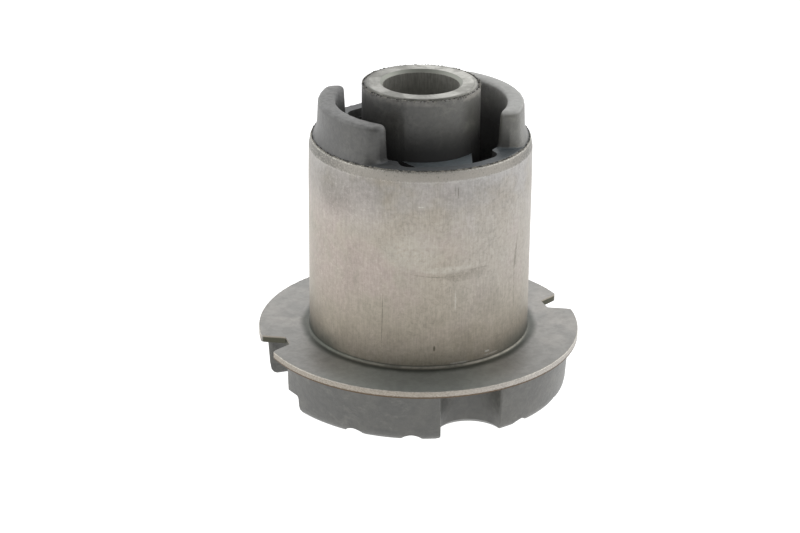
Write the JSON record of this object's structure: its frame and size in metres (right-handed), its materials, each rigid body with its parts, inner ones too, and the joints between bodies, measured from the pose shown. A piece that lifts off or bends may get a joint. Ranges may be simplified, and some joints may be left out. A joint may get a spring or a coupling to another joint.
{
  "type": "rubber metal bush",
  "caption": "Suspension bush with a thick steel inner sleeve, voided rubber body with axial stop horns, and a flanged steel outer sleeve.",
  "frame": {"origin": "centre of the inner sleeve's lower end face, on which the bush stands", "axes": "+Z along the bolt bore towards the horns, +X through a flange notch and a horn"},
  "size_m": [0.0898, 0.0908, 0.09],
  "materials": {
    "sleeve_steel": "matt drawn steel with faint scratches",
    "tube_steel": "turned end faces, dull bore",
    "rubber": "moulded, soft sheen"
  },
  "bodies": {
    "root": {"outer_sleeve": "sleeve_steel", "inner_sleeve": "tube_steel", "rubber_body": "rubber"}
  },
  "joints": []
}
